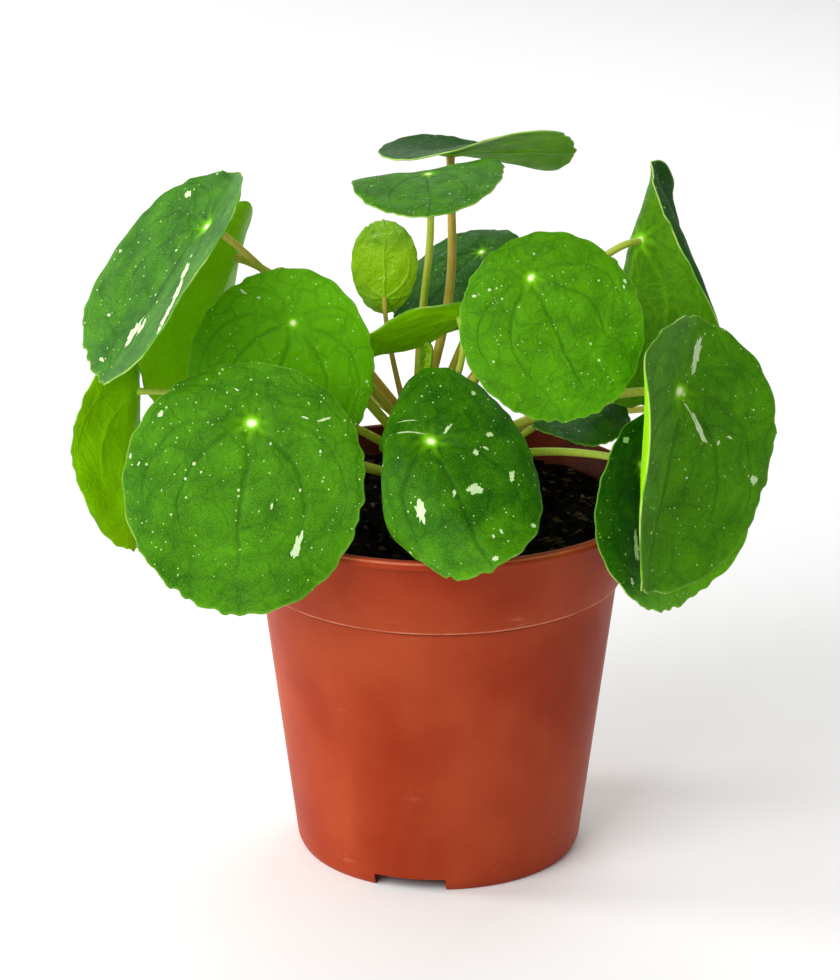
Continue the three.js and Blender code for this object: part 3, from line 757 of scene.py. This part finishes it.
def make_pot():
    lip_z = POT_HEIGHT - LIP_HEIGHT
    collar_foot = BODY_TOP_RADIUS + COLLAR_STEP
    slope = (RIM_RADIUS - LIP_STEP - collar_foot) / (POT_HEIGHT - COLLAR_Z)
    collar_top = collar_foot + slope * (lip_z - COLLAR_Z)
    inside = BASE_RADIUS - WALL
    corners = [
        (0, FLOOR_Z, 0),
        (inside - FOOT_RING / 2, FLOOR_Z, 0.5),
        (BASE_RADIUS - FOOT_BEVEL / 2 - FOOT_RING, 0, 0.4),
        (BASE_RADIUS - FOOT_BEVEL / 2, 0, 0.5),
        (BASE_RADIUS, FOOT_BEVEL, 0.7),
        (BODY_TOP_RADIUS, COLLAR_Z, 0.3),
        (collar_foot, COLLAR_Z + COLLAR_EDGE, 0.3),
        (collar_top, lip_z, 0.4),
        (RIM_RADIUS - LIP_EDGE, lip_z + LIP_EDGE, 0.4),
        (RIM_RADIUS, lip_z + LIP_HEIGHT / 2, 0.6),
        (RIM_RADIUS - LIP_ROUND, POT_HEIGHT, 0.6),
        (RIM_RADIUS - LIP_WIDTH, POT_HEIGHT, 0.7),
        (collar_foot - WALL, COLLAR_Z, 0.8),
        (BODY_TOP_RADIUS - WALL, COLLAR_Z - COLLAR_INSIDE, 0.8),
        (inside, FLOOR_Z + FLOOR_THICKNESS, 0.8),
        (0, FLOOR_Z + FLOOR_THICKNESS, 0),
    ]
    vertices, faces = lathe(divided(filleted(corners), POT_SEGMENT), POT_SIDES)
    skins = (pot_material("pot_plastic", False), pot_material("pot_inside", True))
    shell = new_piece("pot_shell", vertices, faces, skins, "pot_plastic", "pot")
    parts = []
    for i in range(NOTCH_COUNT):
        turn = NOTCH_FIRST_TURN + 360 / NOTCH_COUNT * i
        size = (NOTCH_WIDTH, 2 * NOTCH_DEPTH, 2 * NOTCH_HEIGHT)
        parts.append(("box", size, turn, compass(turn) * BASE_RADIUS))
    for i in range(DRAIN_COUNT):
        centre = compass(360 / DRAIN_COUNT * i) * DRAIN_CIRCLE
        parts.append(("drill", (DRAIN_RADIUS, DRAIN_DEPTH), 0, centre + np.array([0, 0, FLOOR_Z])))
    mesh = cut_away(shell, cutter(parts))
    mesh.shade_smooth()
    mesh.set_sharp_from_angle(angle=math.radians(SHARP_ANGLE))
    paint(shell, [int(looks_in(face)) for face in mesh.polygons])


# Soil

def soil_height(x, y):
    """The height of the soil's loose top, which mounds up a little round the trunk."""
    place = Vector((x, y, 3.7))
    waves = sum(height * noise.noise(place / length) for length, height in SOIL_WAVES)
    from_trunk = math.hypot(x - TRUNK_BASE[0], y - TRUNK_BASE[1]) - TRUNK_RADIUS
    return SOIL_TOP + waves + SOIL_MOUND * math.exp(-(from_trunk / SOIL_MOUND_WIDTH) ** 2)


def lump(rng, centre, size, squash):
    """A rough pebble of soil: an icosphere pushed about by noise."""
    bm = bmesh.new()
    bmesh.ops.create_icosphere(bm, subdivisions=1, radius=1)
    spin = Vector((rng.random(), rng.random(), rng.random())) * 9
    turn = rng.random() * math.tau
    points = []
    for v in bm.verts:
        p = v.co * (1 + LOOSE_BUMPS * noise.noise(v.co * 1.7 + spin))
        p = Vector((p.x * squash[0], p.y * squash[1], p.z * squash[2])) * size
        c, s = math.cos(turn), math.sin(turn)
        points.append((p.x * c - p.y * s + centre[0], p.x * s + p.y * c + centre[1], p.z + centre[2]))
    faces = [[v.index for v in f.verts] for f in bm.faces]
    bm.free()
    return points, faces


def make_soil():
    rng = random.Random(SOIL_SEED)
    vertices = [(0, 0, soil_height(0, 0))]
    faces = []
    for i in range(1, SOIL_RINGS + 1):
        r = SOIL_RADIUS * i / SOIL_RINGS
        for k in range(SOIL_SIDES):
            a = math.tau * (k + 0.5 * (i % 2)) / SOIL_SIDES
            x, y = r * math.cos(a), r * math.sin(a)
            dip = SOIL_DIP * smooth((r - SOIL_RADIUS + SOIL_DIP_WIDTH) / SOIL_DIP_WIDTH)
            vertices.append((x, y, soil_height(x, y) - dip))
    for r, z in SOIL_EDGES:
        for k in range(SOIL_SIDES):
            a = math.tau * k / SOIL_SIDES
            vertices.append((r * math.cos(a), r * math.sin(a), z))
    vertices.append((0, 0, SOIL_BOTTOM))
    rings = SOIL_RINGS + len(SOIL_EDGES)
    for k in range(SOIL_SIDES):
        j = (k + 1) % SOIL_SIDES
        faces.append((0, 1 + k, 1 + j))
        for i in range(rings - 1):
            a = 1 + i * SOIL_SIDES
            faces.append((a + k, a + SOIL_SIDES + k, a + SOIL_SIDES + j, a + j))
        a = 1 + (rings - 1) * SOIL_SIDES
        faces.append((a + j, a + k, len(vertices) - 1))
    picks = [0] * len(faces)
    for i in range(CRUMBS + CHIPS):
        r = (SOIL_RADIUS - LOOSE_MARGIN) * math.sqrt(rng.random())
        a = rng.random() * math.tau
        x, y = r * math.cos(a), r * math.sin(a)
        if math.hypot(x - TRUNK_BASE[0], y - TRUNK_BASE[1]) < TRUNK_RADIUS + 1:
            continue
        chip = i >= CRUMBS
        size = rng.uniform(*(CHIP_SIZES if chip else CRUMB_SIZES))
        centre = (x, y, soil_height(x, y) + LOOSE_LIFT * size)
        points, shape = lump(rng, centre, size, CHIP_SHAPE if chip else CRUMB_SHAPE)
        start = len(vertices)
        vertices += points
        faces += [[start + q for q in f] for f in shape]
        picks += [int(chip)] * len(shape)
    soil = new_piece("soil_bed", vertices, faces, (soil_material(), chip_material()), "potting_soil", "soil")
    paint(soil, picks)


# Trunk

def trunk_centre(z):
    t = max(0, (z - TRUNK_LEAN_FROM) / (TRUNK_TOP[2] - TRUNK_LEAN_FROM))
    return np.array([mix(TRUNK_BASE[0], TRUNK_TOP[0], t * t), mix(TRUNK_BASE[1], TRUNK_TOP[1], t * t), z])


def trunk_radius(z):
    above = max(0, z - TRUNK_LEAN_FROM)
    groove = SCAR_GROOVE * max(0, math.sin(2 * math.pi * above / SCAR_SPACING))
    crown = max(0, (z - TRUNK_TOP[2] + CROWN_HEIGHT) / CROWN_HEIGHT)
    return TRUNK_RADIUS - TRUNK_NARROWING * above - CROWN_TAPER * crown * crown - groove


def make_trunk():
    sides, steps = TRUNK_SIDES, TRUNK_STEPS
    vertices, tone, faces = [], [], []
    for i in range(steps + 1):
        z = mix(TRUNK_BASE[2], TRUNK_TOP[2], i / steps)
        centre = trunk_centre(z)
        ring = 0.5 - 0.5 * math.cos(2 * math.pi * max(0, z - TRUNK_LEAN_FROM) / SCAR_SPACING - math.pi)
        for k in range(sides):
            a = 2 * math.pi * k / sides
            out = Vector((math.cos(a), math.sin(a), 0))
            rough = noise.noise(out * 2.2 + UP * z / 2.5)
            fine = noise.noise(out * 6 + UP * z / 0.9)
            swirl = (z - TRUNK_LEAN_FROM) / SCAR_SPACING
            turn_off = (a - SCAR_TURN * math.floor(swirl)) % math.tau - math.pi
            scar = 0
            if z > TRUNK_LEAN_FROM:
                scar = math.exp(-(turn_off / SCAR_WIDTH) ** 2 - ((swirl % 1 - 0.5) / SCAR_HEIGHT) ** 2)
            r = trunk_radius(z) + BARK_ROUGH * rough + BARK_FINE * fine + SCAR_BULGE * scar
            vertices.append(tuple(centre + np.array([r * out.x, r * out.y, 0])))
            tone.append((ring, smooth((z - GREEN_FROM) / GREEN_OVER), scar))
    for i in range(steps):
        for k in range(sides):
            j = (k + 1) % sides
            faces.append((i * sides + k, i * sides + j, (i + 1) * sides + j, (i + 1) * sides + k))
    for i, flip in ((0, True), (steps, False)):
        vertices.append(tuple(trunk_centre(mix(TRUNK_BASE[2], TRUNK_TOP[2], i / steps))))
        tone.append((0, i / steps, 0))
        for k in range(sides):
            j = (k + 1) % sides
            a, b = i * sides + k, i * sides + j
            faces.append((b, a, len(vertices) - 1) if flip else (a, b, len(vertices) - 1))
    trunk = new_piece("trunk_stem", vertices, faces, (trunk_material(),), "woody_trunk", "trunk")
    carry(trunk, "tone", tone)


# Leaves

def leaf_axes(face):
    """n out of the upper face, t to the tip and s across, from the leaf's turn, tilt and spin."""
    turn, tilt, spin = (math.radians(v) for v in face)
    across = np.array([math.cos(turn), math.sin(turn), 0])
    forward = np.array([math.sin(turn), -math.cos(turn), 0])
    n = forward * math.cos(tilt) + np.array([0, 0, math.sin(tilt)])
    down = forward * math.sin(tilt) - np.array([0, 0, math.cos(tilt)])
    t = down * math.cos(spin) + across * math.sin(spin)
    s = across * math.cos(spin) - down * math.sin(spin)
    return s, t, n


def outline(size, angle, scallop):
    """The blade's edge at an angle from the tip, flat, as across and along from the stalk."""
    length, width, above, egg = size
    wave = 1 + scallop * np.cos(SCALLOPS * angle) + WOBBLE * np.cos(WOBBLES * angle + length)
    across = 0.5 * width * np.sin(angle) * (1 + egg * np.cos(angle)) * wave
    along = (0.5 - above) * length + 0.5 * length * np.cos(angle) * wave
    return across, along


def middle(leaf, share, angle):
    """Points of the blade's middle surface, after its dome, ripple and bends."""
    dome, dimple, height, waves, phase = leaf["form"]
    edge = smooth((share - TEETH_FROM) / (1 - TEETH_FROM))
    across, along = (v * share for v in outline(leaf["size"], angle, SCALLOP * edge))
    for count, depth in NIBBLES:
        uneven = 1 + np.sin(3 * angle + count)
        nibble = 1 + depth * edge * uneven * np.sin(count * angle + leaf["size"][0])
        across, along = across * nibble, along * nibble
    near = np.hypot(across, along) / DIMPLE_RADIUS
    s, t = across, along
    h = -dome * share * share - dimple * np.exp(-near * near)
    h = h + height * share ** waves * np.sin(waves * angle + phase)
    for direction, start, radius, limit in leaf.get("bends", ()):
        ds, dt = math.sin(math.radians(direction)), math.cos(math.radians(direction))
        out = np.maximum(s * ds + t * dt - start, 0)
        roll = math.copysign(1, radius) * np.minimum(out / abs(radius), math.radians(limit))
        past = out - roll * radius
        move = (radius + h) * np.sin(roll) + past * np.cos(roll) - out
        h = h * np.cos(roll) - radius * (1 - np.cos(roll)) - past * np.sin(roll)
        s, t = s + ds * move, t + dt * move
    axes = leaf_axes(leaf["face"])
    return np.asarray(leaf["at"]) + sum(v[..., None] * axis for v, axis in zip((s, t, h), axes))


def vein_relief(x, y):
    """How strongly a spot, in half lengths from the stalk, lies on a main vein."""
    reach = np.hypot(x, y)
    turned = np.abs(np.arctan2(x, y))
    relief = np.zeros_like(reach)
    for start, swing, end, strength in VEINS:
        off = np.abs(turned - math.radians(start) - math.radians(swing) * reach**2) * reach
        fade = strength * (1 - smooth((reach / end - VEIN_FADE) / (1 - VEIN_FADE)))
        relief = np.maximum(relief, fade * np.exp(-((off / VEIN_WIDTH) ** 2)))
    return relief


def pucker(leaf, x, y):
    """The blade's small unevenness, in millimetres: a sum of slow waves, different on each leaf."""
    seed = leaf["size"][0] + leaf["at"][0]
    wave = np.sin(9 * x + seed) * np.cos(7 * y + 2 * seed) + 0.6 * np.sin(15 * x - 11 * y + 3 * seed)
    return PUCKER * wave


def blade_faces(leaf, share, angle):
    """Upper and under points of the blade at a share of the way out and an angle from the tip."""
    inner = np.maximum(share - SLOPE_STEP, NEAR_STALK)
    p = middle(leaf, inner, angle)
    out = middle(leaf, share + SLOPE_STEP, angle) - p
    around = middle(leaf, inner, angle + SLOPE_STEP) - p
    normal = unit(np.cross(out, around))
    across, along = (v * share for v in outline(leaf["size"], angle, 0))
    half = leaf["size"][0] / 2
    x, y = across / half, along / half
    veins = vein_relief(x, y) * smooth(share / 0.1)
    uneven = pucker(leaf, x, y) * smooth(share / 0.2)
    thick = BLADE / 2 * mix(1, THIN_EDGE, smooth((share - THIN_FROM) / (1 - THIN_FROM)))
    centre = middle(leaf, share, angle)
    upper = centre + normal * (thick - VEIN_GROOVE * veins + uneven)[..., None]
    under = centre - normal * (thick + VEIN_RIDGE * veins - uneven)[..., None]
    return upper, under, unit(out), np.stack([x, y, share], -1)


def fleck_patches(leaf, rng):
    """Ragged patches that lie on the upper face, each as its points and their spots on the blade."""
    table = np.linspace(-math.pi, math.pi, 721)
    across, along = outline(leaf["size"], table, 0)
    heading = np.arctan2(across, along)
    order = np.argsort(heading)
    patches = []
    for u, v, wide, tall, turn in leaf.get("flecks", ()):
        c, s = math.cos(math.radians(turn)), math.sin(math.radians(turn))
        edge = [rng.uniform(0.55, 1.2) for k in range(FLECK_SIDES)]
        points = [(u, v)]
        for part in (0.5, 1):
            for k, ragged in enumerate(edge):
                a = math.tau * k / FLECK_SIDES
                px, py = wide * ragged * part * math.cos(a), tall * ragged * part * math.sin(a)
                points.append((u + px * c - py * s, v + px * s + py * c))
        points = np.array(points)
        facing = np.arctan2(points[:, 0], points[:, 1])
        angle = np.interp(facing, heading[order], table[order])
        reach = np.hypot(*outline(leaf["size"], angle, 0))
        share = np.minimum(np.hypot(points[:, 0], points[:, 1]) / reach, FLECK_LIMIT)
        upper, under, _, spot = blade_faces(leaf, share, angle)
        patches.append((upper + unit(upper - under) * FLECK_LIFT, spot))
    return patches


def grid(row, k):
    """The number of a blade's point: rows run out over the upper face, along the rim and out underneath."""
    return 1 + row * SIDES + k % SIDES


def make_blade(name, leaf, materials, rng):
    shares = np.concatenate([np.arange(1, RINGS) / RINGS, LAST_RINGS])
    angles = np.arange(SIDES) * 2 * math.pi / SIDES
    share, angle = np.meshgrid(shares, angles, indexing="ij")
    upper, under, out, spot = blade_faces(leaf, share, angle)
    n = leaf_axes(leaf["face"])[2]
    stalk_spot = middle(leaf, np.array([0.0]), np.array([0.0]))[0]
    rim = (upper[-1] + under[-1]) / 2 + out[-1] * RIM_BULGE
    centre = [stalk_spot + n * BLADE / 2, stalk_spot - n * BLADE / 2]
    points = np.concatenate([[centre[0]], upper.reshape(-1, 3), rim, under.reshape(-1, 3), [centre[1]]])
    spots = np.concatenate([[[0, 0, 0]], spot.reshape(-1, 3), spot[-1], spot.reshape(-1, 3), [[0, 0, 0]]])
    rim_row = len(shares)
    low_row = rim_row + 1
    last_row = low_row + rim_row - 1
    last = len(points) - 1
    faces, picks = [], []
    for k in range(SIDES):
        faces += [(0, grid(0, k), grid(0, k + 1)), (last, grid(low_row, k + 1), grid(low_row, k))]
        picks += [UPPER, UNDER]
        for i in range(rim_row - 1):
            low = low_row + i
            faces.append((grid(i, k), grid(i + 1, k), grid(i + 1, k + 1), grid(i, k + 1)))
            faces.append((grid(low, k + 1), grid(low + 1, k + 1), grid(low + 1, k), grid(low, k)))
            picks += [UPPER, UNDER]
        for inner, outer in ((rim_row - 1, rim_row), (rim_row, last_row)):
            faces.append((grid(inner, k), grid(outer, k), grid(outer, k + 1), grid(inner, k + 1)))
            picks.append(MARGIN)
    for patch, where in fleck_patches(leaf, rng):
        start = len(points)
        points = np.concatenate([points, patch])
        spots = np.concatenate([spots, where])
        ring = len(patch) // 2
        for k in range(ring):
            a, b = start + 1 + k, start + 1 + (k + 1) % ring
            faces += [(start, a, b), (a, a + ring, b + ring, b)]
            picks += [FLECK, FLECK]
    slot = "young_blade" if name in YOUNG else "leaf_blade"
    piece = new_piece("leaf_" + name, points, faces, materials, slot, "blade_" + name)
    carry(piece, "spot", spots)
    seed = leaf["size"][0] * 0.37 + leaf["at"][0] * 0.11
    carry(piece, "tone", np.tile([leaf["tone"][0], seed % 5, leaf.get("tip", 0)], (len(points), 1)))
    paint(piece, picks)


def bezier(a, b, c, d, t):
    """Points of the curve through a and d that leaves for b and comes from c, and its directions."""
    t = t[:, None]
    u = 1 - t
    point = a * u**3 + b * 3 * u * u * t + c * 3 * u * t * t + d * t**3
    slope = (b - a) * 3 * u * u + (c - b) * 6 * u * t + (d - c) * 3 * t * t
    return point, unit(slope)


def make_stalk(name, leaf, material):
    turn, z, rise, reach, approach, radius = leaf["stalk"]
    lift = math.radians(rise)
    out = compass(turn) * math.cos(lift) + np.array([0, 0, math.sin(lift)])
    crest = max(trunk_radius(z), trunk_radius(z + radius * math.cos(lift)))
    start = trunk_centre(z) + compass(turn) * (crest + GAP + radius * math.sin(lift))
    n = leaf_axes(leaf["face"])[2]
    end = np.asarray(leaf["at"]) - n * (leaf["form"][1] + BLADE / 2 + GAP)
    t = np.linspace(0, 1, STALK_STEPS + 1)
    centres, along = bezier(start, start + out * reach, end - n * approach, end, t)
    foot = start - out * SEAT - compass(turn) * SEAT
    centres = np.concatenate([[foot], centres, [end + n * (GAP + STALK_TUCK)]])
    along = np.concatenate([along[:1], along, along[-1:]])
    gone = np.concatenate([[0], np.cumsum(np.linalg.norm(np.diff(centres, axis=0), axis=1))])
    share = gone / gone[-1]
    side = np.array([0.3, 1, 0.2])
    vertices, faces, tone = [], [], []
    foot_brown, top_brown = leaf["tone"][1:]
    (foot_swell, foot_length), (top_swell, top_length) = FOOT_SWELL, TOP_SWELL
    for k, (centre, ahead) in enumerate(zip(centres, along)):
        side = unit(side - ahead * side.dot(ahead))
        across = np.cross(ahead, side)
        swell = foot_swell * math.exp(-gone[k] / foot_length)
        swell += top_swell * math.exp(-(gone[-1] - gone[k]) / top_length)
        r = radius * (mix(1, STALK_TAPER, share[k]) + swell)
        for i in range(STALK_SIDES):
            a = 2 * math.pi * i / STALK_SIDES
            ridge = 1 + RIDGE * math.cos(RIDGES * a + share[k] * RIDGE_TWIST)
            vertices.append(centre + (side * math.cos(a) + across * math.sin(a)) * r * ridge)
            tone.append((share[k], mix(foot_brown, top_brown, share[k]), 0))
    steps = len(centres) - 1
    for k in range(steps):
        for i in range(STALK_SIDES):
            j = (i + 1) % STALK_SIDES
            a, b = k * STALK_SIDES, (k + 1) * STALK_SIDES
            faces.append((a + i, a + j, b + j, b + i))
    faces.append(tuple(reversed(range(STALK_SIDES))))
    faces.append(tuple(steps * STALK_SIDES + i for i in range(STALK_SIDES)))
    piece = new_piece("leafstalk_" + name, vertices, faces, (material,), "leaf_stalk", "stalk_" + name)
    carry(piece, "tone", tone)


def blade_materials(name, young, margin, fleck):
    upper = leaf_material(name + "_upper", False, young)
    under = leaf_material(name + "_under", True, young)
    return upper, under, margin, fleck


def make_leaves():
    margin, fleck, skin = margin_material(), fleck_material(), stalk_material()
    grown = blade_materials("leaf", False, margin, fleck)
    fresh = blade_materials("young", True, margin, fleck)
    rng = random.Random(FLECK_SEED)
    for name, leaf in LEAVES.items():
        make_blade(name, leaf, fresh if name in YOUNG else grown, rng)
        make_stalk(name, leaf, skin)


# Studio

def aim(thing, place, target):
    thing.location = Vector(place) * MM
    thing.rotation_euler = (Vector(target) * MM - thing.location).to_track_quat("-Z", "Y").to_euler()
    bpy.context.scene.collection.objects.link(thing)


def make_camera():
    data = bpy.data.cameras.new("camera")
    data.sensor_fit = "VERTICAL"
    data.sensor_height = SENSOR
    data.lens = FOCAL_PIXELS * SENSOR / PHOTO_HEIGHT
    data.clip_end = 50
    down = math.radians(CAMERA_DOWN)
    back = Vector((0, -math.cos(down), math.sin(down)))
    camera = bpy.data.objects.new("camera", data)
    target = Vector(CAMERA_AIM)
    aim(camera, target + back * CAMERA_DISTANCE, target)
    bpy.context.scene.camera = camera


def area_light(name, place, target, size, power):
    data = bpy.data.lights.new(name, "AREA")
    data.shape = "RECTANGLE"
    data.size, data.size_y = (v * MM for v in size)
    data.energy = power
    aim(bpy.data.objects.new(name, data), place, target)


def make_studio():
    mesh = bpy.data.meshes.new("floor")
    corners = [(x * FLOOR_HALF, y * FLOOR_HALF, 0) for x, y in ((-1, -1), (1, -1), (1, 1), (-1, 1))]
    mesh.from_pydata(corners, [], [(0, 1, 2, 3)])
    floor = bpy.data.objects.new("floor", mesh)
    bpy.context.scene.collection.objects.link(floor)
    s = Shader("pale_floor", Roughness=0.7, Specular_IOR_Level=0.2)
    s.set("Base Color", s.mix(s.noise(s.place(), 3.0)[0], (0.9, 0.9, 0.9, 1), (0.93, 0.93, 0.925, 1)))
    mesh.materials.append(s.material)
    world = bpy.data.worlds.new("studio")
    world.use_nodes = True
    background = world.node_tree.nodes["Background"]
    background.inputs["Color"].default_value = (1, 1, 1, 1)
    background.inputs["Strength"].default_value = DAYLIGHT
    bpy.context.scene.world = world
    for name, (place, target, size, power) in LIGHTS.items():
        area_light(name, place, target, size, power)
    bpy.context.scene.view_settings.view_transform = "Standard"


make_camera()
make_studio()
make_pot()
make_soil()
make_trunk()
make_leaves()
